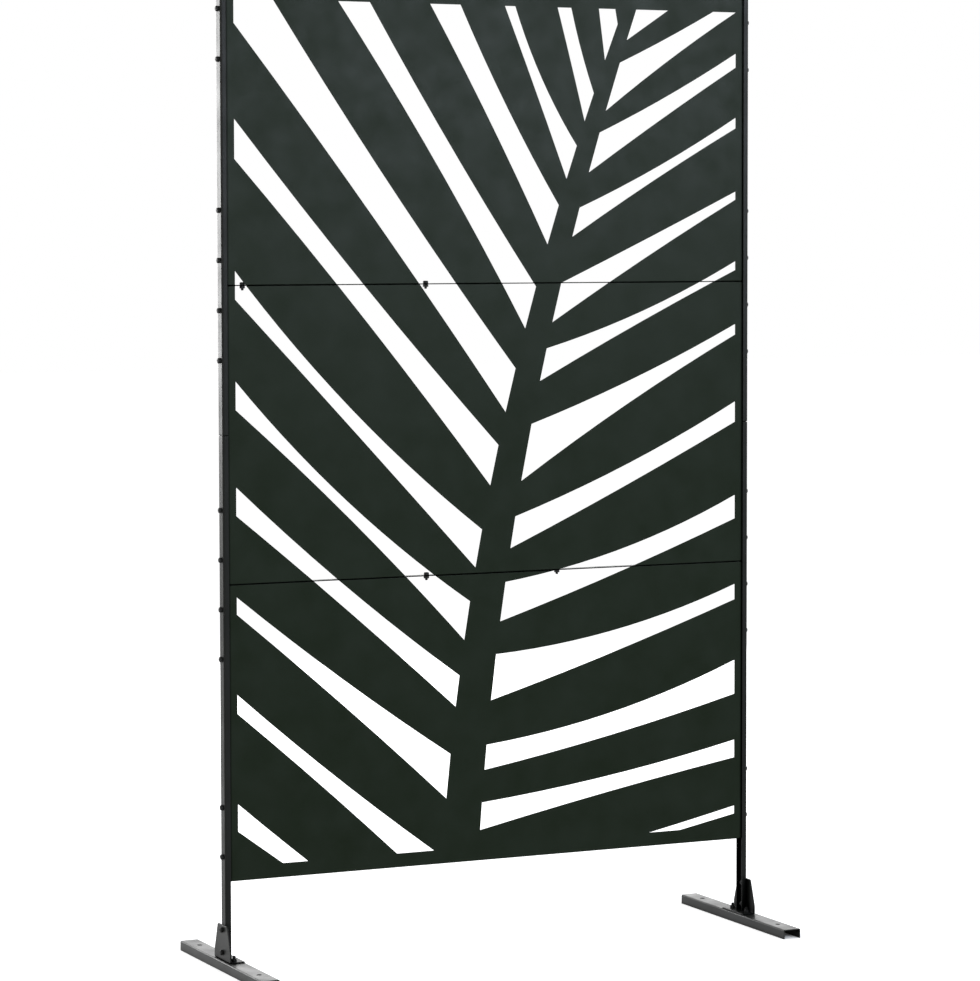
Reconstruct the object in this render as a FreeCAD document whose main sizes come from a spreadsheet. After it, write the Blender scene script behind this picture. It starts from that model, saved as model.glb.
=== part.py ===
import FreeCAD
import Part
import Sketcher
import os
import re

# Free-standing garden screen: three folded sheet panels with one palm frond cut through them, bolted to
# each other and into two channel posts that stand on channel feet.
# Millimetres, +Z up, front towards -Y. The origin is on the ground, midway between the posts, on their
# centre plane.

SIZES = {
    # Panels: folded trays, one above the other
    "panel_width": 1200,
    "panel_height": 600,
    "panel_depth": 18,
    "sheet_thickness": 1,
    "bend_radius": 2,
    "ground_gap": 180,
    # Plain rim left round the frond, at the sides and at the top and bottom ends
    "side_rim": 28,
    "end_rim": 29,
    # Posts: channels in two sections, open towards the panels, which sit in them
    "post_width": 12,
    "post_wall": 1.5,
    "post_corner": 3.5,
    "post_rise": 4,
    "post_joint": 1.5,
    "panel_clearance": 2,
    # Feet: inverted channels across the posts, with a hole for a ground anchor near each end
    "foot_length": 450,
    "foot_width": 40,
    "foot_height": 20,
    "foot_wall": 2,
    "foot_corner": 3,
    "foot_overhang": 9,
    "anchor_diameter": 11,
    "anchor_spacing": 330,
    # Brackets: an ear up the post's outer side and a plate on the foot
    "bracket_length": 88,
    "bracket_reach": 31,
    "bracket_thickness": 2.5,
    "bracket_bend": 2.5,
    "ear_height": 72,
    "ear_shoulder": 17,
    "ear_top_length": 52,
    "ear_corner": 5,
    "ear_bolt_low": 16,
    "ear_bolt_high": 62,
    "foot_bolt_spacing": 60,
    # Bolts and nuts
    "bolt_diameter": 6,
    "hole_clearance": 0.5,
    "head_diameter": 11,
    "head_height": 5.5,
    "head_chamfer": 1.5,
    "nut_width": 10,
    "nut_height": 5.2,
    "thread_clearance": 0.1,
    "panel_screw_inset": 50,
    "panel_screw_pitch": 100,
    "panel_screw_stub": 2,
    "seam_bolt_inset": 47,
    "seam_bolt_spacing": 300,
    "seam_bolt_stub": 4,
    "ear_bolt_stub": 3,
    "foot_bolt_stub": 6,
    # How far a cut runs past what it cuts
    "overrun": 5,
}

PANELS = ("panel_bottom", "panel_middle", "panel_top")
SIDES = ("left", "right")

# Places in the sheet's sizes
PANELS_TOP = f"(ground_gap + panel_height * {len(PANELS)})"
PANEL_SIDE = "(panel_width / 2)"
POST_OUTSIDE = f"({PANEL_SIDE} + post_wall)"
POST_AXIS = f"({POST_OUTSIDE} - post_width / 2)"
POST_DEPTH = "(panel_depth + 2 * panel_clearance + 2 * post_wall)"
POST_BOTTOM = "(foot_height + bracket_thickness)"
POST_BUTT = f"((ground_gap + {PANELS_TOP}) / 2)"
LOWER_POST_TOP = f"({POST_BUTT} - post_joint / 2)"
UPPER_POST_BOTTOM = f"({POST_BUTT} + post_joint / 2)"
POST_TOP = f"({PANELS_TOP} + post_rise)"
FOOT_AXIS = f"({POST_OUTSIDE} + foot_overhang - foot_width / 2)"
SCREW_OFFSETS = (
    "(panel_height / 2 - panel_screw_inset)",
    "(panel_height / 2 - panel_screw_inset - panel_screw_pitch)",
)
SEAM_OFFSETS = (f"({PANEL_SIDE} - seam_bolt_inset)", "(seam_bolt_spacing / 2)")
EAR_HEIGHTS = ("ear_bolt_low", "ear_bolt_high")

# Bolts, nuts and their holes repeat many times, so their round forms are drawn with a few flat sides
HEAD_SIDES = 12
SHANK_SIDES = 6
# Turns a six-sided form's width across its flats into that across its corners
OVER_CORNERS = f"/ cos(180 / {SHANK_SIDES})"
HOLE_CORNERS = f"((bolt_diameter + hole_clearance) {OVER_CORNERS})"
BORE_CORNERS = f"((bolt_diameter + 2 * thread_clearance) {OVER_CORNERS})"
NUT_CORNERS = f"(nut_width {OVER_CORNERS})"

# How closely an edge or face has to lie where it is looked for, as a share of the panel's width
MATCH_SHARE = 1e-6

# The frond's stem: how far its two edges lie across the cut field, at the field's foot, middle and head
STEM_EDGE_SHARES = {"left": (0.396, 0.517, 0.764), "right": (0.469, 0.575, 0.791)}

# The slots between the leaflets. The first two columns are where a slot meets the rim: up to 1 is a share
# of the field's height on the slot's own side, and what is over 1 is a share of its width along the head, in
# from that side. The next two are its end on the stem, as shares of the height. The last two are the bow of
# its lower and upper edge, as a share of the edge's length, upwards.
SLOT_SHARES = {
    "left": (
        (0.293, 0.313, 0.061, 0.114, 0.007, -0.012),
        (0.407, 0.440, 0.170, 0.207, 0.006, -0.016),
        (0.529, 0.562, 0.249, 0.295, 0.013, -0.033),
        (0.656, 0.689, 0.335, 0.380, 0.002, -0.031),
        (0.817, 0.863, 0.432, 0.480, 0.009, -0.009),
        (0.972, 1.074, 0.519, 0.571, 0.007, -0.010),
        (1.198, 1.259, 0.618, 0.668, 0.013, -0.009),
        (1.376, 1.436, 0.718, 0.765, 0.009, -0.016),
        (1.524, 1.545, 0.796, 0.836, 0.003, -0.035),
        (1.630, 1.658, 0.865, 0.899, 0.003, -0.016),
        (1.714, 1.748, 0.938, 0.982, 0, 0),
    ),
    "right": (
        (0.085, 0.107, 0.020, 0.053, 0.006, -0.016),
        (0.164, 0.206, 0.092, 0.122, -0.012, -0.035),
        (0.281, 0.300, 0.175, 0.230, -0.008, -0.038),
        (0.381, 0.410, 0.269, 0.316, -0.009, -0.039),
        (0.500, 0.525, 0.356, 0.394, -0.007, -0.021),
        (0.607, 0.620, 0.436, 0.504, 0.014, -0.017),
        (0.686, 0.697, 0.555, 0.594, 0.007, -0.028),
        (0.772, 0.782, 0.625, 0.672, 0.008, -0.003),
        (0.859, 0.872, 0.727, 0.762, 0.009, -0.018),
        (0.933, 0.950, 0.804, 0.852, 0.006, -0.014),
        (1.000, 1.048, 0.878, 0.936, 0.013, -0.009),
    ),
}

# Slots in the field's lower corners run from the side rim to the foot rim: two shares up the side, two shares
# in along the foot, and the two bows.
CORNER_SLOT_SHARES = {
    "left": (
        (0.178, 0.200, 0.306, 0.379, 0.006, -0.011),
        (0.041, 0.073, 0.085, 0.133, 0, -0.004),
    ),
    "right": ((0.015, 0.025, 0.116, 0.181, 0, -0.003),),
}
# The slot beside the stem's tip: where it meets the head rim, in from the right, and the stem
TIP_SLOT_SHARES = (0.143, 0.963)

doc = FreeCAD.newDocument("garden_screen")
sheet = doc.addObject("Spreadsheet::Sheet", "sizes")
for row, (alias, number) in enumerate(SIZES.items(), start=1):
    sheet.set(f"A{row}", alias)
    sheet.set(f"B{row}", str(number))
    sheet.setAlias(f"B{row}", alias)
doc.recompute()


def bound(text):
    """The expression with each size's name tied to its cell."""
    return re.sub(r"[a-z_]+", lambda word: f"sizes.{word[0]}" if word[0] in SIZES else word[0], text)


def value(text):
    return float(sheet.evalExpression(bound(text)))


def both(text):
    return (f"-{text}", text)


def sign_of(side):
    return -1 if side == "left" else 1


# Sketches and features


def new_body(label):
    body = doc.addObject("PartDesign::Body", label)
    body.Label = label
    return body


def new_sketch(body, role, offset="0"):
    """A sketch on one of the body's own planes, moved along the plane's normal."""
    sketch = body.newObject("Sketcher::SketchObject", "sketch")
    support = next(plane for plane in body.Origin.OriginFeatures if plane.Role == role)
    sketch.AttachmentSupport = [(support, "")]
    sketch.MapMode = "FlatFace"
    sketch.setExpression("AttachmentOffset.Base.z", bound(offset))
    return sketch


def tie(sketch, geometry, point, x, y):
    """Holds a sketch point at x and y from the sketch's origin."""
    for kind, distance in (("DistanceX", x), ("DistanceY", y)):
        index = sketch.addConstraint(Sketcher.Constraint(kind, -1, 1, geometry, point, value(distance)))
        sketch.setExpression(f"Constraints[{index}]", bound(distance))


def polygon(sketch, corners):
    points = [FreeCAD.Vector(value(x), value(y), 0) for x, y in corners]
    lines = [
        sketch.addGeometry(Part.LineSegment(start, end), False)
        for start, end in zip(points, points[1:] + points[:1])
    ]
    for line, following in zip(lines, lines[1:] + lines[:1]):
        sketch.addConstraint(Sketcher.Constraint("Coincident", line, 2, following, 1))
    for line, (x, y) in zip(lines, corners):
        tie(sketch, line, 1, x, y)


def rectangle(sketch, width, height):
    left, right = both(f"({width}) / 2")
    low, high = both(f"({height}) / 2")
    polygon(sketch, ((left, low), (right, low), (right, high), (left, high)))


def circle(sketch, x, y, diameter):
    centre = FreeCAD.Vector(value(x), value(y), 0)
    round_edge = Part.Circle(centre, FreeCAD.Vector(0, 0, 1), value(diameter) / 2)
    index = sketch.addGeometry(round_edge, False)
    tie(sketch, index, 3, x, y)
    across = sketch.addConstraint(Sketcher.Constraint("Diameter", index, value(diameter)))
    sketch.setExpression(f"Constraints[{across}]", bound(diameter))


def flat_sided(sketch, x, y, sides, diameter):
    """A polygon with its corners on the circle of the given diameter about x and y."""
    turns = [f"(360 * {corner} / {sides})" for corner in range(sides)]
    radius = f"{diameter} / 2"
    polygon(sketch, [(f"{x} + {radius} * cos({turn})", f"{y} + {radius} * sin({turn})") for turn in turns])


def bolt_hole(sketch, x, y):
    flat_sided(sketch, x, y, SHANK_SIDES, HOLE_CORNERS)


def pad(body, sketch, length, side="One side", reverse=False):
    feature = body.newObject("PartDesign::Pad", "pad")
    feature.Profile = sketch
    feature.SideType = side
    feature.Reversed = reverse
    feature.setExpression("Length", bound(length))
    doc.recompute()


def drill(body, sketch, side="Symmetric", reverse=False):
    """Cuts the sketch right through the body and makes sure that it met something."""
    before = body.Shape.Volume
    feature = body.newObject("PartDesign::Pocket", "cut")
    feature.Profile = sketch
    feature.Type = "ThroughAll"
    feature.SideType = side
    feature.Reversed = reverse
    doc.recompute()
    if body.Shape.Volume >= before:
        raise RuntimeError(f"{body.Label}: {sketch.Name} cuts nothing")


def fillet(body, radius, chosen):
    """Rounds those edges of the body's last feature that chosen picks."""
    base = body.Tip
    names = [f"Edge{number}" for number, edge in enumerate(base.Shape.Edges, start=1) if chosen(edge)]
    feature = body.newObject("PartDesign::Fillet", "rounding")
    feature.Base = (base, names)
    feature.setExpression("Radius", bound(radius))
    doc.recompute()


def chamfer(body, size, chosen):
    """Bevels those edges of the body's last feature that chosen picks."""
    base = body.Tip
    names = [f"Edge{number}" for number, edge in enumerate(base.Shape.Edges, start=1) if chosen(edge)]
    feature = body.newObject("PartDesign::Chamfer", "bevel")
    feature.Base = (base, names)
    feature.setExpression("Size", bound(size))
    doc.recompute()


def shell(body, wall, chosen):
    """Hollows the body to a wall of even thickness, open at the face that chosen picks."""
    base = body.Tip
    names = [f"Face{number}" for number, face in enumerate(base.Shape.Faces, start=1) if chosen(face)]
    feature = body.newObject("PartDesign::Thickness", "wall")
    feature.Base = (base, names)
    feature.Reversed = True
    feature.setExpression("Value", bound(wall))
    doc.recompute()


def place(feature, x="0", y="0", z="0"):
    for axis, distance in zip("xyz", (x, y, z)):
        feature.setExpression(f"Placement.Base.{axis}", bound(distance))


def lies_at(position, expression):
    return abs(position - value(expression)) < MATCH_SHARE * value("panel_width")


# The palm frond, as one set of slots across all three panels


def field_point(side, across_share, up_share):
    """A point of the cut field. across_share counts in from the field's left or right edge."""
    width = value("panel_width - 2 * side_rim")
    low = value("ground_gap + end_rim")
    high = value(f"{PANELS_TOP} - end_rim")
    x = sign_of(side) * width * (0.5 - across_share)
    return FreeCAD.Vector(x, 0, low + (high - low) * up_share)


def rim_point(side, share):
    if share <= 1:
        return field_point(side, 0, share)
    return field_point(side, share - 1, 1)


def stem_point(side, up_share):
    """A point on the stem's edge, a parabola through its shares at the field's foot, middle and head."""
    foot, middle, head = STEM_EDGE_SHARES[side]
    bend = 2 * (head + foot - 2 * middle)
    return field_point("left", foot + (head - foot - bend) * up_share + bend * up_share**2, up_share)


def bowed_edge(start, end, bow_share):
    if bow_share == 0:
        return Part.LineSegment(start, end).toShape()
    chord = end - start
    upwards = FreeCAD.Vector(-chord.z, 0, chord.x)
    if upwards.z < 0:
        upwards = -upwards
    return Part.Arc(start, (start + end) / 2 + upwards * bow_share, end).toShape()


def straight_edges(points):
    return [Part.LineSegment(start, end).toShape() for start, end in zip(points, points[1:])]


def slot_face(outer, inner, lower_bow_share, upper_bow_share):
    """The face between the points along a slot's outer and its inner end, both from low to high."""
    edges = straight_edges(outer)
    edges.append(bowed_edge(outer[-1], inner[-1], upper_bow_share))
    edges += straight_edges(inner[::-1])
    edges.append(bowed_edge(inner[0], outer[0], lower_bow_share))
    return Part.Face(Part.Wire(edges))


def triangle_face(points):
    return Part.Face(Part.Wire(straight_edges(points + points[:1])))


def frond_faces():
    faces = []
    for side, rows in SLOT_SHARES.items():
        for rim_low, rim_high, stem_low, stem_high, lower_bow, upper_bow in rows:
            outer = [rim_point(side, rim_low), rim_point(side, rim_high)]
            if rim_low < 1 < rim_high:
                outer.insert(1, rim_point(side, 1))
            inner = [stem_point(side, stem_low), stem_point(side, stem_high)]
            faces.append(slot_face(outer, inner, lower_bow, upper_bow))
    for side, rows in CORNER_SLOT_SHARES.items():
        for side_low, side_high, foot_low, foot_high, lower_bow, upper_bow in rows:
            outer = [rim_point(side, side_low), rim_point(side, side_high)]
            inner = [field_point(side, foot_low, 0), field_point(side, foot_high, 0)]
            faces.append(slot_face(outer, inner, lower_bow, upper_bow))
    head_share, stem_share = TIP_SLOT_SHARES
    tip = stem_point("right", 1)
    faces.append(triangle_face([tip, field_point("right", head_share, 1), stem_point("right", stem_share)]))
    return faces


def make_frond():
    """The slots as solids that reach through the panels' front sheets."""
    outlines = doc.addObject("Part::Feature", "frond_outlines")
    outlines.Shape = Part.makeCompound(frond_faces())
    place(outlines, y="-panel_depth / 2 - overrun")
    cutter = doc.addObject("Part::Extrusion", "frond_cutter")
    cutter.Base = outlines
    cutter.DirMode = "Custom"
    cutter.Dir = FreeCAD.Vector(0, 1, 0)
    cutter.Solid = True
    cutter.setExpression("LengthFwd", bound("overrun + sheet_thickness + overrun"))
    return cutter


# Panels


def make_tray(label, flanges_down):
    """A plain folded panel about its own centre, with bolt holes in its side and the named end flanges."""
    body = new_body(label)
    outline = new_sketch(body, "XZ_Plane")
    rectangle(outline, "panel_width", "panel_height")
    pad(body, outline, "panel_depth", "Symmetric")
    fillet(body, "bend_radius", lambda edge: lies_at(edge.CenterOfMass.y, "-panel_depth / 2"))
    shell(body, "sheet_thickness", lambda face: lies_at(face.CenterOfMass.y, "panel_depth / 2"))
    side_holes = new_sketch(body, "YZ_Plane")
    for offset in SCREW_OFFSETS:
        for height in both(offset):
            bolt_hole(side_holes, "0", height)
    drill(body, side_holes)
    for down in flanges_down:
        seam_holes = new_sketch(body, "XY_Plane")
        for offset in SEAM_OFFSETS:
            for x in both(offset):
                bolt_hole(seam_holes, x, "0")
        drill(body, seam_holes, "One side", reverse=not down)
    return body


def make_panel(label, index, frond):
    """A tray with the part of the frond that lies between its end flanges cut through its front."""
    flanges_down = [down for down, last in ((True, 0), (False, len(PANELS) - 1)) if index != last]
    tray = make_tray(f"{label}_tray", flanges_down)
    low = f"(ground_gap + panel_height * {index})"
    place(tray, z=f"{low} + panel_height / 2")
    window = doc.addObject("Part::Box", f"{label}_window")
    for side, length in (("Length", "panel_width"), ("Width", "panel_depth"), ("Height", "panel_height")):
        margin = "-sheet_thickness" if side == "Height" else "overrun"
        window.setExpression(side, bound(f"{length} + 2 * {margin}"))
    place(window, "-panel_width / 2 - overrun", "-panel_depth / 2 - overrun", f"{low} + sheet_thickness")
    slots = doc.addObject("Part::Common", f"{label}_slots")
    slots.Base = frond
    slots.Tool = window
    panel = doc.addObject("Part::Cut", label)
    panel.Base = tray
    panel.Tool = slots
    return panel


# Posts


def make_post(label, sign, bottom, top, bolt_heights):
    """A section of channel with its web outside and its open side towards the panels."""
    body = new_body(label)
    section = new_sketch(body, "XY_Plane")
    inside, outside = f"{-sign} * post_width / 2", f"{sign} * post_width / 2"
    web = f"{sign} * (post_width / 2 - post_wall)"
    back, front = both(f"({POST_DEPTH} / 2)")
    inner_back, inner_front = both(f"({POST_DEPTH} / 2 - post_wall)")
    polygon(section, (
        (inside, back), (outside, back), (outside, front), (inside, front),
        (inside, inner_front), (web, inner_front), (web, inner_back), (inside, inner_back),
    ))
    pad(body, section, f"{top} - {bottom}")
    fillet(body, "post_corner", lambda edge: lies_at(edge.CenterOfMass.x, outside)
           and lies_at(abs(edge.CenterOfMass.y), front))
    fillet(body, "post_corner - post_wall", lambda edge: lies_at(edge.CenterOfMass.x, web)
           and lies_at(abs(edge.CenterOfMass.y), inner_front))
    holes = new_sketch(body, "YZ_Plane")
    for height in bolt_heights:
        bolt_hole(holes, "0", f"{height} - {bottom}")
    drill(body, holes)
    place(body, f"{sign} * {POST_AXIS}", z=bottom)
    return body


# Feet and brackets


def make_foot(label, sign):
    body = new_body(label)
    profile = new_sketch(body, "XZ_Plane")
    left, right = both("(foot_width / 2)")
    inner_left, inner_right = both("(foot_width / 2 - foot_wall)")
    web = "(foot_height - foot_wall)"
    polygon(profile, (
        (left, "0"), (inner_left, "0"), (inner_left, web), (inner_right, web),
        (inner_right, "0"), (right, "0"), (right, "foot_height"), (left, "foot_height"),
    ))
    pad(body, profile, "foot_length", "Symmetric")
    fillet(body, "foot_corner", lambda edge: lies_at(abs(edge.CenterOfMass.x), "foot_width / 2")
           and lies_at(edge.CenterOfMass.z, "foot_height"))
    fillet(body, "foot_corner - foot_wall", lambda edge: lies_at(edge.CenterOfMass.z, web)
           and lies_at(abs(edge.CenterOfMass.x), inner_right))
    holes = new_sketch(body, "XY_Plane")
    for y in both("(anchor_spacing / 2)"):
        circle(holes, "0", y, "anchor_diameter")
    for y in both("(foot_bolt_spacing / 2)"):
        bolt_hole(holes, "0", y)
    drill(body, holes)
    place(body, f"{sign} * {FOOT_AXIS}")
    return body


def make_bracket(label, sign):
    """Ear and plate about the post's axis, with the foot's top at height zero."""
    body = new_body(label)
    ear = new_sketch(body, "YZ_Plane", f"{sign} * post_width / 2")
    back, front = both("(bracket_length / 2)")
    top_back, top_front = both("(ear_top_length / 2)")
    polygon(ear, (
        (back, "0"), (front, "0"), (front, "ear_shoulder"),
        (top_front, "ear_height"), (top_back, "ear_height"), (back, "ear_shoulder"),
    ))
    pad(body, ear, "bracket_thickness", reverse=sign < 0)
    fillet(body, "ear_corner", lambda edge: lies_at(edge.CenterOfMass.z, "ear_height")
           and lies_at(abs(edge.CenterOfMass.y), top_front))
    plate = new_sketch(body, "XY_Plane")
    outside = f"({sign} * (post_width / 2 + bracket_thickness))"
    inside = f"({sign} * (post_width / 2 + bracket_thickness - bracket_reach))"
    polygon(plate, ((outside, back), (inside, back), (inside, front), (outside, front)))
    pad(body, plate, "bracket_thickness")
    fillet(body, "bracket_bend", lambda edge: lies_at(edge.CenterOfMass.x, outside)
           and lies_at(edge.CenterOfMass.z, "0"))
    ear_holes = new_sketch(body, "YZ_Plane")
    for height in EAR_HEIGHTS:
        bolt_hole(ear_holes, "0", height)
    drill(body, ear_holes)
    plate_holes = new_sketch(body, "XY_Plane")
    for y in both("(foot_bolt_spacing / 2)"):
        bolt_hole(plate_holes, f"{sign} * ({FOOT_AXIS} - {POST_AXIS})", y)
    drill(body, plate_holes)
    place(body, f"{sign} * {POST_AXIS}", z="foot_height")
    return body


# Bolts and nuts: one of each length, set in groups


def make_bolt(label, length):
    """A pan head below height zero and its shank above."""
    body = new_body(label)
    head = new_sketch(body, "XY_Plane")
    flat_sided(head, "0", "0", HEAD_SIDES, "head_diameter")
    pad(body, head, "head_height", reverse=True)
    chamfer(body, "head_chamfer", lambda edge: lies_at(edge.CenterOfMass.z, "-head_height"))
    shank = new_sketch(body, "XY_Plane")
    flat_sided(shank, "0", "0", SHANK_SIDES, "bolt_diameter")
    pad(body, shank, length)
    return body


def make_nut(label):
    body = new_body(label)
    section = new_sketch(body, "XY_Plane")
    flat_sided(section, "0", "0", SHANK_SIDES, NUT_CORNERS)
    flat_sided(section, "0", "0", SHANK_SIDES, BORE_CORNERS)
    pad(body, section, "nut_height")
    return body


def make_group(label, piece, seats, direction):
    """Copies of one bolt or nut with their seats at the given places, pointing along the direction."""
    copies = []
    for x, y, z in seats:
        copy = piece.Shape.copy()
        turn = FreeCAD.Rotation(FreeCAD.Vector(0, 0, 1), FreeCAD.Vector(*direction))
        copy.Placement = FreeCAD.Placement(FreeCAD.Vector(value(x), value(y), value(z)), turn)
        copies.append(copy)
    group = doc.addObject("Part::Feature", label)
    group.Shape = Part.makeCompound(copies)
    return group


def panel_screw_heights(index):
    middle = f"(ground_gap + panel_height * {index} + panel_height / 2)"
    return [f"({middle} + {offset})" for text in SCREW_OFFSETS for offset in both(text)]


nodes = []

frond = make_frond()
for index, label in enumerate(PANELS):
    nodes.append(make_panel(label, index, frond))

screw_heights = [height for index in range(len(PANELS)) for height in panel_screw_heights(index)]
ear_bolt_heights = [f"(foot_height + {height})" for height in EAR_HEIGHTS]
butt = value(POST_BUTT)
low_heights = [height for height in screw_heights if value(height) < butt]
high_heights = [height for height in screw_heights if value(height) > butt]

panel_screw = make_bolt("panel_screw", "post_wall + sheet_thickness + nut_height + panel_screw_stub")
seam_bolt = make_bolt("seam_bolt", "2 * sheet_thickness + nut_height + seam_bolt_stub")
ear_bolt = make_bolt("ear_bolt", "bracket_thickness + post_wall + nut_height + ear_bolt_stub")
foot_bolt = make_bolt("foot_bolt", "foot_wall + bracket_thickness + nut_height + foot_bolt_stub")
nut = make_nut("nut")

for side in SIDES:
    sign = sign_of(side)
    nodes.append(make_foot(f"{side}_foot", sign))
    nodes.append(make_bracket(f"{side}_bracket", sign))
    hole_heights = ear_bolt_heights + low_heights
    nodes.append(make_post(f"{side}_post_lower", sign, POST_BOTTOM, LOWER_POST_TOP, hole_heights))
    nodes.append(make_post(f"{side}_post_upper", sign, UPPER_POST_BOTTOM, POST_TOP, high_heights))

    inwards = (-sign, 0, 0)
    upwards = (0, 0, 1)
    seats = [(f"{sign} * {POST_OUTSIDE}", "0", height) for height in screw_heights]
    nodes.append(make_group(f"{side}_panel_screws", panel_screw, seats, inwards))
    seats = [(f"{sign} * ({PANEL_SIDE} - sheet_thickness)", "0", height) for height in screw_heights]
    nodes.append(make_group(f"{side}_panel_nuts", nut, seats, inwards))
    seats = [(f"{sign} * ({POST_OUTSIDE} + bracket_thickness)", "0", height) for height in ear_bolt_heights]
    nodes.append(make_group(f"{side}_ear_bolts", ear_bolt, seats, inwards))
    seats = [(f"{sign} * {PANEL_SIDE}", "0", height) for height in ear_bolt_heights]
    nodes.append(make_group(f"{side}_ear_nuts", nut, seats, inwards))
    foot_places = [(f"{sign} * {FOOT_AXIS}", y) for y in both("(foot_bolt_spacing / 2)")]
    seats = [(x, y, "foot_height - foot_wall") for x, y in foot_places]
    nodes.append(make_group(f"{side}_foot_bolts", foot_bolt, seats, upwards))
    seats = [(x, y, POST_BOTTOM) for x, y in foot_places]
    nodes.append(make_group(f"{side}_foot_nuts", nut, seats, upwards))

for index, seam in enumerate(("lower_seam", "upper_seam"), start=1):
    height = f"(ground_gap + panel_height * {index})"
    downwards = (0, 0, -1)
    places = [x for offset in SEAM_OFFSETS for x in both(offset)]
    seats = [(x, "0", f"{height} + sheet_thickness") for x in places]
    nodes.append(make_group(f"{seam}_bolts", seam_bolt, seats, downwards))
    seats = [(x, "0", f"{height} - sheet_thickness") for x in places]
    nodes.append(make_group(f"{seam}_nuts", nut, seats, downwards))

doc.recompute()

for feature in doc.Objects:
    if {"Invalid", "Error"} & set(feature.State):
        raise RuntimeError(f"{feature.Name} failed: {feature.State}")
for node in nodes:
    if node.Shape.isNull() or not node.Shape.isValid():
        raise RuntimeError(f"{node.Label} has no valid shape")

os.makedirs("parts", exist_ok=True)
for node in nodes:
    node.Shape.exportStep(f"parts/{node.Label}.step")
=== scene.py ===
import math

import bmesh
import bpy
from mathutils import Euler, Matrix, Vector


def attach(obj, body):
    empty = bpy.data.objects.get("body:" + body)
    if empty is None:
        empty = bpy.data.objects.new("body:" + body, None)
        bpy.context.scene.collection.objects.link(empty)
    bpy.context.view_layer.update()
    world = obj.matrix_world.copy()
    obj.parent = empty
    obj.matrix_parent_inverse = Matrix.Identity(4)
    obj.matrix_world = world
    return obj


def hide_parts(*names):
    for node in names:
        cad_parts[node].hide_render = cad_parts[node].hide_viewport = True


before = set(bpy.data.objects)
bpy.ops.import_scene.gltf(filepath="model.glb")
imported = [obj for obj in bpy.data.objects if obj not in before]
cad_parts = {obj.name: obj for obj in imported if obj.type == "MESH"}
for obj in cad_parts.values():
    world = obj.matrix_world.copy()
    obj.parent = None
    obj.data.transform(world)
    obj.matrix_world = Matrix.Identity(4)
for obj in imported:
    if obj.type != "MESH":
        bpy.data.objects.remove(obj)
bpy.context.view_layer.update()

# Garden screen of black powder-coated steel: the frame's panels, posts, feet and brackets with their finish, and its
# bolts and nuts with domed heads, driving recesses and threads. Metres, +Z up, front towards -Y.

MM = 0.001

# Camera: where it stands, how far it is turned to the right, down and clockwise, its focal length in pixels, and how
# far its picture is shifted, as a share of the picture's height
CAMERA_PLACE = Vector((-3.1680, -6.6510, 1.4816))
CAMERA_TURN = 25.439
CAMERA_DIP = 3.256
CAMERA_ROLL = 0.103
CAMERA_FOCAL_PIXELS = 3558.5
CAMERA_SHIFT = -0.055
IMAGE_LONG_SIDE = 981
SENSOR = 36.0

# Bolts and nuts
HEAD_HEIGHT = 5.5 * MM
HEAD_RADIUS = 5.5 * MM
HEAD_SIDE = 3.2 * MM
HEAD_FLAT_RADIUS = 3.0 * MM
HEAD_SEGMENTS = 40
DOME_STEPS = 6
RECESS_ARM = 2.3 * MM
RECESS_HALF_WIDTH = 0.55 * MM
RECESS_DEPTH = 2.0 * MM
RECESS_FLOOR_SHARE = 0.72
CREST_RADIUS = 2.98 * MM
ROOT_RADIUS = 2.5 * MM
THREAD_PITCH = 1.0 * MM
THREAD_SEGMENTS = 18
THREAD_TIP_SHARE = 0.85
NUT_HALF_WIDTH = 5.0 * MM
NUT_BORE_RADIUS = 3.05 * MM
NUT_COUNTERSINK = 0.45 * MM
NUT_SIDE_STEPS = 6
NUT_CHAMFER_SHARE = 0.96
NUT_FACE_SHARE = 0.94
CHAMFER_SLOPE = math.tan(math.radians(30))
SHARP_ANGLE = math.radians(35)
TURN_STEP = 2.4
WELD = 0.01 * MM

LEFTWARDS, RIGHTWARDS = Vector((-1, 0, 0)), Vector((1, 0, 0))
UPWARDS, DOWNWARDS = Vector((0, 0, 1)), Vector((0, 0, -1))

# The way each group of fasteners points, from its head or seat on
BOLT_NODES = {
    "left_panel_screws": RIGHTWARDS,
    "right_panel_screws": LEFTWARDS,
    "left_ear_bolts": RIGHTWARDS,
    "right_ear_bolts": LEFTWARDS,
    "left_foot_bolts": UPWARDS,
    "right_foot_bolts": UPWARDS,
    "lower_seam_bolts": DOWNWARDS,
    "upper_seam_bolts": DOWNWARDS,
}
NUT_NODES = {
    "left_panel_nuts": RIGHTWARDS,
    "right_panel_nuts": LEFTWARDS,
    "left_ear_nuts": RIGHTWARDS,
    "right_ear_nuts": LEFTWARDS,
    "left_foot_nuts": UPWARDS,
    "right_foot_nuts": UPWARDS,
    "lower_seam_nuts": DOWNWARDS,
    "upper_seam_nuts": DOWNWARDS,
}
SIDES = ("left", "right")
PANEL_NODES = ("panel_bottom", "panel_middle", "panel_top")
POST_NODES = [f"{side}_{piece}" for side in SIDES for piece in ("post_lower", "post_upper", "bracket")]
FOOT_NODES = [f"{side}_foot" for side in SIDES]


# Materials

BLACK, WHITE = (0.0, 0.0, 0.0), (1.0, 1.0, 1.0)
PAINT_IOR = 1.5

# The greys that most of a noise lies between, and how alike a rounded and a flat normal are at a full edge
NOISE_LOW, NOISE_HIGH = 0.3, 0.7
EDGE_LIKENESS = 0.75

# How many rays feel for edges, round a normal, and look for the painted shade in folds and on the floor
EDGE_SAMPLES, ROUNDING_SAMPLES, SHADE_SAMPLES, FLOOR_SAMPLES = 4, 6, 32, 8

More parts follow.
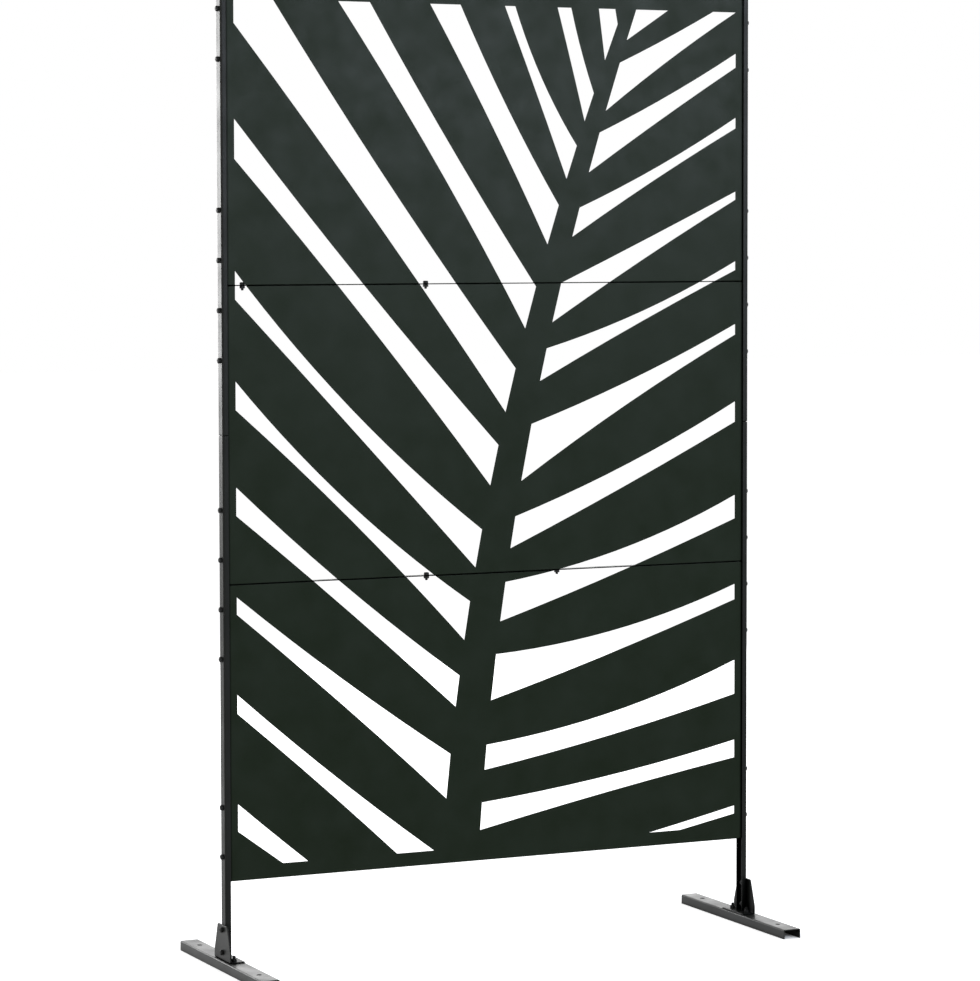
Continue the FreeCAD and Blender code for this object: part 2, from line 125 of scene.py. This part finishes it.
# Powder coat: blots to the metre and detail of each noise, and what the noises and edges do
CLOUDS, SPECKS, HAZE, PEEL = (13, 4), (420, 2), (18, 4), (750, 2)
SPECK_STRENGTH = 0.35
HAZE_SPREAD = 0.05
PEEL_STRENGTH, PEEL_DEPTH = 0.1, 0.15 * MM
# Paler edges, partly thinner coat and partly a painted highlight
THIN_COAT_AND_HIGHLIGHT_WIDTH, THIN_COAT_AND_HIGHLIGHT_STRENGTH = 0.9 * MM, 0.35

# Blackened steel, in the same way
STAINS, STEEL_HAZE, GRAIN = (900, 3), (300, 3), (1500, 2)
STEEL_TINTS = (0.004, 0.0042, 0.004), (0.010, 0.0104, 0.010), (0.03, 0.03, 0.029)
STEEL_SHINE = 0.12
STEEL_ROUGHNESS = 0.42, 0.58
GRAIN_STRENGTH, GRAIN_DEPTH = 0.2, 0.05 * MM
RUBBED_EDGE_WIDTH, RUBBED_EDGE_STRENGTH = 0.25 * MM, 0.4

# Tints of the coats: darker and paler clouds, and paler edges of thinner coat with a painted highlight
PANEL_TINTS = (0.0026, 0.0064, 0.0016), (0.0066, 0.0110, 0.0060), (0.030, 0.034, 0.030)
FRAME_TINTS = (0.0030, 0.0035, 0.0029), (0.0055, 0.0062, 0.0052), (0.028, 0.030, 0.027)


def node_tree(material):
    """The material's nodes, emptied, with a way to add one and a way to join two."""
    material.use_nodes = True
    tree = material.node_tree
    tree.nodes.clear()

    def add(kind, **values):
        node = tree.nodes.new(kind)
        for name, value in values.items():
            if hasattr(node, name):
                setattr(node, name, value)
            else:
                node.inputs[name.replace("_", " ")].default_value = value
        return node

    return add, tree.links.new


def noise(add, link, place, scale, detail):
    """Grey noise with so many blots to the metre."""
    texture = add("ShaderNodeTexNoise", Scale=scale, Detail=detail)
    link(place.outputs["Object"], texture.inputs["Vector"])
    return texture.outputs["Fac"]


def spread(add, link, source, low, high):
    """Stretches the greys of a noise over the given range."""
    stretch = add("ShaderNodeMapRange")
    stretch.inputs["From Min"].default_value = NOISE_LOW
    stretch.inputs["From Max"].default_value = NOISE_HIGH
    stretch.inputs["To Min"].default_value = low
    stretch.inputs["To Max"].default_value = high
    link(source, stretch.inputs["Value"])
    return stretch.outputs["Result"]


def combine(add, link, operation, *values):
    """A sum, product or the like of sockets and plain numbers."""
    node = add("ShaderNodeMath", operation=operation)
    for socket, value in zip(node.inputs, values):
        if isinstance(value, float):
            socket.default_value = value
        else:
            link(value, socket)
    return node.outputs[0]


def blend(add, link, amount, first, second):
    """A colour between two others, each a socket or a plain colour."""
    mix = add("ShaderNodeMix", data_type="RGBA")
    link(amount, mix.inputs[0])
    for socket, colour in ((mix.inputs[6], first), (mix.inputs[7], second)):
        if isinstance(colour, tuple):
            socket.default_value = (*colour, 1)
        else:
            link(colour, socket)
    return mix.outputs[2]


def edge_amount(add, link, radius, strongest):
    """How near a surface lies to a sharp edge, from the turn of a rounded normal."""
    rounded = add("ShaderNodeBevel", samples=EDGE_SAMPLES, Radius=radius)
    geometry = add("ShaderNodeNewGeometry")
    alike = add("ShaderNodeVectorMath", operation="DOT_PRODUCT")
    link(rounded.outputs["Normal"], alike.inputs[0])
    link(geometry.outputs["Normal"], alike.inputs[1])
    stretch = add("ShaderNodeMapRange")
    stretch.inputs["From Min"].default_value = 1.0
    stretch.inputs["From Max"].default_value = EDGE_LIKENESS
    stretch.inputs["To Max"].default_value = strongest
    link(alike.outputs["Value"], stretch.inputs["Value"])
    return stretch.outputs["Result"]


def painted_shade(add, reach, samples):
    """Painted shade from ambient occlusion: one in the open, falling towards zero in folds, gaps and corners within
    the given reach.
    """
    return add("ShaderNodeAmbientOcclusion", samples=samples, Distance=reach).outputs["AO"]


def powder_coat(name, tints, roughness, shine, rounding, shade_reach, shade_power, level_shade_power=0.0):
    """Satin powder coat: cloudy tint, fine orange peel, rounded edges, and paler edges of thinner coat with a
    painted highlight.

    Folds and gaps within the given reach get painted shade in colour and reflection, level faces by the level shade
    power more than upright ones.
    """
    dark, light, edge = tints
    material = bpy.data.materials.new(name)
    add, link = node_tree(material)
    place = add("ShaderNodeTexCoord")
    cloud = spread(add, link, noise(add, link, place, *CLOUDS), 0, 1)
    speck = spread(add, link, noise(add, link, place, *SPECKS), 0, SPECK_STRENGTH)
    tint = blend(add, link, cloud, dark, light)
    tint = blend(add, link, speck, tint, light)
    # paler edges: thinner coat and a painted highlight
    tint = blend(add, link, edge_amount(add, link, THIN_COAT_AND_HIGHLIGHT_WIDTH, THIN_COAT_AND_HIGHLIGHT_STRENGTH), tint, edge)
    facing = add("ShaderNodeSeparateXYZ")
    link(add("ShaderNodeNewGeometry").outputs["Normal"], facing.inputs[0])
    level = combine(add, link, "ABSOLUTE", facing.outputs["Z"])
    shade_exponent = combine(add, link, "MULTIPLY_ADD", level, level_shade_power, shade_power)
    painted_fold_shade = combine(add, link, "POWER", painted_shade(add, shade_reach, SHADE_SAMPLES), shade_exponent)
    # painted shade: the coat's colour darkened towards black in folds, gaps and seams
    tint = blend(add, link, painted_fold_shade, BLACK, tint)
    shader = add("ShaderNodeBsdfPrincipled", IOR=PAINT_IOR, Specular_IOR_Level=shine)
    link(tint, shader.inputs["Base Color"])
    # painted shade: the reflection dimmed in the same folds and seams
    link(painted_fold_shade, shader.inputs["Specular Tint"])
    haze = noise(add, link, place, *HAZE)
    haze = spread(add, link, haze, roughness - HAZE_SPREAD, roughness + HAZE_SPREAD)
    link(haze, shader.inputs["Roughness"])
    rounded = add("ShaderNodeBevel", samples=ROUNDING_SAMPLES, Radius=rounding)
    peel = add("ShaderNodeBump", Strength=PEEL_STRENGTH, Distance=PEEL_DEPTH)
    link(rounded.outputs["Normal"], peel.inputs["Normal"])
    link(noise(add, link, place, *PEEL), peel.inputs["Height"])
    link(peel.outputs["Normal"], shader.inputs["Normal"])
    output = add("ShaderNodeOutputMaterial")
    link(shader.outputs["BSDF"], output.inputs["Surface"])
    return material


def blackened_steel(name):
    """Matt black steel of bolts and nuts, with rubbed edges."""
    dark, light, edge = STEEL_TINTS
    material = bpy.data.materials.new(name)
    add, link = node_tree(material)
    place = add("ShaderNodeTexCoord")
    stain = spread(add, link, noise(add, link, place, *STAINS), 0, 1)
    tint = blend(add, link, stain, dark, light)
    tint = blend(add, link, edge_amount(add, link, RUBBED_EDGE_WIDTH, RUBBED_EDGE_STRENGTH), tint, edge)
    shader = add("ShaderNodeBsdfPrincipled", IOR=PAINT_IOR, Specular_IOR_Level=STEEL_SHINE)
    link(tint, shader.inputs["Base Color"])
    haze = noise(add, link, place, *STEEL_HAZE)
    link(spread(add, link, haze, *STEEL_ROUGHNESS), shader.inputs["Roughness"])
    grain = add("ShaderNodeBump", Strength=GRAIN_STRENGTH, Distance=GRAIN_DEPTH)
    link(noise(add, link, place, *GRAIN), grain.inputs["Height"])
    link(grain.outputs["Normal"], shader.inputs["Normal"])
    output = add("ShaderNodeOutputMaterial")
    link(shader.outputs["BSDF"], output.inputs["Surface"])
    return material


def dress(node, material):
    """Gives a node of the frame its finish."""
    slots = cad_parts[node].data.materials
    slots.clear()
    slots.append(material)


# Bolts and nuts, made with their seat at the origin and pointing along +Z


def circle(radius, height, segments):
    """Points round the Z axis, counter-clockwise."""
    turns = [2 * math.pi * step / segments for step in range(segments)]
    return [Vector((radius * math.cos(turn), radius * math.sin(turn), height)) for turn in turns]


def add_ring(mesh, points):
    """A vertex at each point."""
    return [mesh.verts.new(point) for point in points]


def bridge(mesh, lower, upper):
    """Faces between two rings of as many points."""
    for step in range(len(lower)):
        following = (step + 1) % len(lower)
        mesh.faces.new((lower[step], lower[following], upper[following], upper[step]))


def cross_outline(arm, half_width, height):
    """A plus sign of twelve corners, counter-clockwise."""
    quarter = [(arm, -half_width), (arm, half_width), (half_width, half_width)]
    corners = []
    for turn in range(4):
        spin = Matrix.Rotation(math.pi / 2 * turn, 3, "Z")
        corners += [spin @ Vector((x, y, height)) for x, y in quarter]
    return corners


def add_head(mesh):
    """A domed pan head below the seat, with a cross recess in its crown."""
    crown = -HEAD_HEIGHT
    rings = [add_ring(mesh, circle(ROOT_RADIUS, 0, HEAD_SEGMENTS))]
    profile = [(HEAD_RADIUS, 0), (HEAD_RADIUS, -HEAD_SIDE)]
    rise, reach = HEAD_HEIGHT - HEAD_SIDE, HEAD_RADIUS - HEAD_FLAT_RADIUS
    for step in range(1, DOME_STEPS + 1):
        turn = math.pi / 2 * step / DOME_STEPS
        profile.append((HEAD_FLAT_RADIUS + reach * math.cos(turn), -HEAD_SIDE - rise * math.sin(turn)))
    rings += [add_ring(mesh, circle(radius, height, HEAD_SEGMENTS)) for radius, height in profile]
    for lower, upper in zip(rings, rings[1:]):
        bridge(mesh, upper, lower)
    mouth = add_ring(mesh, cross_outline(RECESS_ARM, RECESS_HALF_WIDTH, crown))
    floor_arm, floor_half = RECESS_ARM * RECESS_FLOOR_SHARE, RECESS_HALF_WIDTH * RECESS_FLOOR_SHARE
    floor = add_ring(mesh, cross_outline(floor_arm, floor_half, crown + RECESS_DEPTH))
    bridge(mesh, mouth, floor)
    mesh.faces.new(floor)
    loops = []
    for ring in (rings[-1], mouth):
        for first, second in zip(ring, ring[1:] + ring[:1]):
            loops.append(mesh.edges.get((first, second)))
    bmesh.ops.triangle_fill(mesh, use_beauty=True, edges=loops)


def add_thread(mesh, length):
    """A screw thread from the seat on, whose last turn tapers."""
    turns = max(3, round(length / THREAD_PITCH) - 1)
    last = turns * THREAD_SEGMENTS
    roots, crests = [], []
    for step in range(last + 1):
        turn = 2 * math.pi * step / THREAD_SEGMENTS
        height = (length - THREAD_PITCH / 2) * step / last
        taper = min(1, (last - step) / THREAD_SEGMENTS)
        root = ROOT_RADIUS * (THREAD_TIP_SHARE + (1 - THREAD_TIP_SHARE) * taper)
        crest = root + (CREST_RADIUS - ROOT_RADIUS) * taper
        flank = THREAD_PITCH / 2
        roots.append(mesh.verts.new((root * math.cos(turn), root * math.sin(turn), height)))
        crests.append(mesh.verts.new((crest * math.cos(turn), crest * math.sin(turn), height + flank)))
    for step in range(last):
        mesh.faces.new((roots[step], roots[step + 1], crests[step + 1], crests[step]))
    for step in range(last - THREAD_SEGMENTS):
        above = step + THREAD_SEGMENTS
        mesh.faces.new((crests[step], crests[step + 1], roots[above + 1], roots[above]))
    start = mesh.verts.new((0, 0, 0))
    for first, second in zip(roots[:THREAD_SEGMENTS], roots[1:THREAD_SEGMENTS + 1]):
        mesh.faces.new((second, first, start))
    mesh.faces.new((crests[0], roots[THREAD_SEGMENTS], start))
    mesh.faces.new((roots[0], crests[0], start))
    end = mesh.verts.new((0, 0, length))
    rim = crests[last - THREAD_SEGMENTS:]
    for first, second in zip(rim, rim[1:]):
        mesh.faces.new((first, second, end))
    mesh.faces.new((crests[last], roots[last], end))
    mesh.faces.new((roots[last], crests[last - THREAD_SEGMENTS], end))


def bolt_mesh(extent):
    """A bolt of the given length over its head."""
    mesh = bmesh.new()
    add_head(mesh)
    add_thread(mesh, extent - HEAD_HEIGHT)
    return mesh


def nut_mesh(extent):
    """A hexagon nut, chamfered at both faces, with its bore countersunk."""
    mesh = bmesh.new()
    corner = NUT_HALF_WIDTH / math.cos(math.pi / 6)
    corners = circle(corner, 0, 6)
    sides = []
    for first, second in zip(corners, corners[1:] + corners[:1]):
        sides += [first.lerp(second, step / NUT_SIDE_STEPS) for step in range(NUT_SIDE_STEPS)]
    drops = [(point.length - NUT_HALF_WIDTH * NUT_CHAMFER_SHARE) * CHAMFER_SLOPE for point in sides]

    def on_circle(radius, height):
        return [point.normalized() * radius + Vector((0, 0, height)) for point in sides]

    face_radius = NUT_HALF_WIDTH * NUT_FACE_SHARE
    wide_bore = NUT_BORE_RADIUS + NUT_COUNTERSINK
    rings = [
        on_circle(NUT_BORE_RADIUS, NUT_COUNTERSINK),
        on_circle(wide_bore, 0),
        on_circle(face_radius, 0),
        [point + Vector((0, 0, drop)) for point, drop in zip(sides, drops)],
        [point + Vector((0, 0, extent - drop)) for point, drop in zip(sides, drops)],
        on_circle(face_radius, extent),
        on_circle(wide_bore, extent),
        on_circle(NUT_BORE_RADIUS, extent - NUT_COUNTERSINK),
    ]
    rings = [add_ring(mesh, points) for points in rings]
    for lower, upper in zip(rings, rings[1:] + rings[:1]):
        bridge(mesh, lower, upper)
    return mesh


def solids_of(node):
    """The lowest and highest corner of each separate solid of a node."""
    mesh = bmesh.new()
    mesh.from_mesh(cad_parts[node].data)
    bmesh.ops.remove_doubles(mesh, verts=mesh.verts, dist=WELD)
    waiting = set(mesh.verts)
    boxes = []
    while waiting:
        front = [waiting.pop()]
        island = []
        while front:
            vertex = front.pop()
            island.append(vertex.co.copy())
            for edge in vertex.link_edges:
                other = edge.other_vert(vertex)
                if other in waiting:
                    waiting.remove(other)
                    front.append(other)
        low = Vector([min(point[axis] for point in island) for axis in range(3)])
        high = Vector([max(point[axis] for point in island) for axis in range(3)])
        boxes.append((low, high))
    mesh.free()
    return sorted(boxes, key=lambda box: tuple(box[0]))


def fasten(node, direction, make, seat_depth, material):
    """Puts a detailed bolt or nut in the place of each solid of the node."""
    whole = bmesh.new()
    for index, (low, high) in enumerate(solids_of(node)):
        middle, half = (low + high) / 2, (high - low) / 2
        reach = abs(half.dot(direction))
        single = make(2 * reach)
        spin = Matrix.Rotation(TURN_STEP * index, 4, "Z")
        point = direction.to_track_quat("Z", "Y").to_matrix().to_4x4()
        seat = Matrix.Translation(middle + direction * (seat_depth - reach))
        single.transform(seat @ point @ spin)
        copy = bpy.data.meshes.new("single")
        single.to_mesh(copy)
        single.free()
        whole.from_mesh(copy)
        bpy.data.meshes.remove(copy)
    bmesh.ops.recalc_face_normals(whole, faces=whole.faces)
    mesh = bpy.data.meshes.new(f"{node}_detail")
    whole.to_mesh(mesh)
    whole.free()
    mesh.materials.append(material)
    mesh.shade_smooth()
    mesh.set_sharp_from_angle(angle=SHARP_ANGLE)
    piece = bpy.data.objects.new(f"{node}_detail", mesh)
    bpy.context.scene.collection.objects.link(piece)
    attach(piece, "root")
    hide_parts(node)


# Each coat darkens in folds and gaps within its shade reach: painted shade
panel_finish = powder_coat(
    "panel_coat", PANEL_TINTS, roughness=0.39, shine=0.07,
    rounding=0.6 * MM, shade_reach=6 * MM, shade_power=4.0, level_shade_power=300.0,
)
post_finish = powder_coat(
    "post_coat", FRAME_TINTS, roughness=0.38, shine=0.1,
    rounding=3 * MM, shade_reach=40 * MM, shade_power=2.0,
)
foot_finish = powder_coat(
    "foot_coat", FRAME_TINTS, roughness=0.36, shine=0.16,
    rounding=0.5 * MM, shade_reach=9 * MM, shade_power=2.0,
)
bolt_finish = blackened_steel("bolt_black")
for node in PANEL_NODES:
    dress(node, panel_finish)
for node in POST_NODES:
    dress(node, post_finish)
for node in FOOT_NODES:
    dress(node, foot_finish)
for node, direction in BOLT_NODES.items():
    fasten(node, direction, bolt_mesh, HEAD_HEIGHT, bolt_finish)
for node, direction in NUT_NODES.items():
    fasten(node, direction, nut_mesh, 0, bolt_finish)


# Studio: pale floor and backdrop, soft lamps

FLOOR_HALF = 30.0
FLOOR_SEEN = 0.8
FLOOR_SHADE_REACH = 0.06
FLOOR_TINT = (0.8, 0.8, 0.8)
WORLD_STRAY = 0.3

# Each lamp's place, the point that it is turned to, its width, height, power and tint
LAMPS = {
    "key": ((-3.4, -3.6, 2.2), (0, 0, 1.3), 1.8, 2.4, 100, WHITE),
    "fill": ((2.1, -4.4, 2.2), (0, 0, 1.6), 2.8, 1.0, 175, (0.80, 0.88, 1.0)),
    "rim": ((-2.5, 4.05, 1.80), (-0.6, 0, 1.5), 2.0, 1.8, 160, WHITE),
    "back": ((1.4, 4.6, 1.2), (0.6, 0, 0.4), 4.0, 2.2, 60, WHITE),
    "side": ((4.5, 0.8, 1.7), (0.6, 0, 1.0), 2.4, 2.0, 45, WHITE),
    "top": ((0, 0.2, 4.4), (0, 0, 0), 3.0, 2.0, 20, WHITE),
}


def seen_rays(add, link):
    """One for rays that show the background: from the camera, off a shiny surface or through glass."""
    path = add("ShaderNodeLightPath")
    straight = combine(add, link, "MAXIMUM", path.outputs["Is Camera Ray"], path.outputs["Is Glossy Ray"])
    return combine(add, link, "MAXIMUM", straight, path.outputs["Is Transmission Ray"])


def make_floor():
    """A pale floor that is white where it is seen in the open, with a painted contact shadow in its glow near the
    screen, and keeps the screen's shadow.
    """
    mesh = bpy.data.meshes.new("floor")
    corners = [(x * FLOOR_HALF, y * FLOOR_HALF, 0) for x, y in ((-1, -1), (1, -1), (1, 1), (-1, 1))]
    mesh.from_pydata(corners, [], [(0, 1, 2, 3)])
    floor = bpy.data.objects.new("floor", mesh)
    bpy.context.scene.collection.objects.link(floor)
    material = bpy.data.materials.new("pale_floor")
    add, link = node_tree(material)
    matte = add("ShaderNodeBsdfDiffuse", Color=(*FLOOR_TINT, 1))
    glow = add("ShaderNodeEmission")
    # painted shadow: the floor's glow dims near the screen's feet and parts
    shade = painted_shade(add, FLOOR_SHADE_REACH, FLOOR_SAMPLES)
    painted_shadow_glow = combine(add, link, "MULTIPLY", shade, FLOOR_SEEN)
    link(combine(add, link, "MULTIPLY", seen_rays(add, link), painted_shadow_glow), glow.inputs["Strength"])
    both = add("ShaderNodeAddShader")
    link(matte.outputs[0], both.inputs[0])
    link(glow.outputs[0], both.inputs[1])
    output = add("ShaderNodeOutputMaterial")
    link(both.outputs[0], output.inputs["Surface"])
    mesh.materials.append(material)


def make_world():
    """White where it is seen, and dim as stray light."""
    world = bpy.data.worlds.new("studio")
    bpy.context.scene.world = world
    add, link = node_tree(world)
    background = add("ShaderNodeBackground", Color=(*WHITE, 1))
    link(combine(add, link, "MAXIMUM", seen_rays(add, link), WORLD_STRAY), background.inputs["Strength"])
    output = add("ShaderNodeOutputWorld")
    link(background.outputs[0], output.inputs["Surface"])


def softbox(name, place, target, width, height, power, tint):
    """A soft rectangular lamp."""
    lamp = bpy.data.lights.new(name, "AREA")
    lamp.shape = "RECTANGLE"
    lamp.size = width
    lamp.size_y = height
    lamp.energy = power
    lamp.color = tint
    lamp_object = bpy.data.objects.new(name, lamp)
    lamp_object.location = place
    lamp_object.visible_camera = False
    lamp_object.rotation_euler = (Vector(target) - Vector(place)).to_track_quat("-Z", "Y").to_euler()
    bpy.context.scene.collection.objects.link(lamp_object)


def make_camera():
    """The camera at the photograph's viewing angle."""
    camera = bpy.data.cameras.new("camera")
    camera.sensor_width = SENSOR
    camera.lens = CAMERA_FOCAL_PIXELS / IMAGE_LONG_SIDE * SENSOR
    camera.shift_y = CAMERA_SHIFT
    camera_object = bpy.data.objects.new("camera", camera)
    level = Euler((math.radians(90 - CAMERA_DIP), 0, math.radians(-CAMERA_TURN)))
    roll = Matrix.Rotation(math.radians(-CAMERA_ROLL), 3, "Z")
    turned = (level.to_matrix() @ roll).to_4x4()
    camera_object.matrix_world = Matrix.Translation(CAMERA_PLACE) @ turned
    bpy.context.scene.collection.objects.link(camera_object)
    bpy.context.scene.camera = camera_object


make_floor()
make_world()
for lamp_name, setting in LAMPS.items():
    softbox(lamp_name, *setting)
make_camera()
bpy.context.scene.view_settings.view_transform = "Standard"
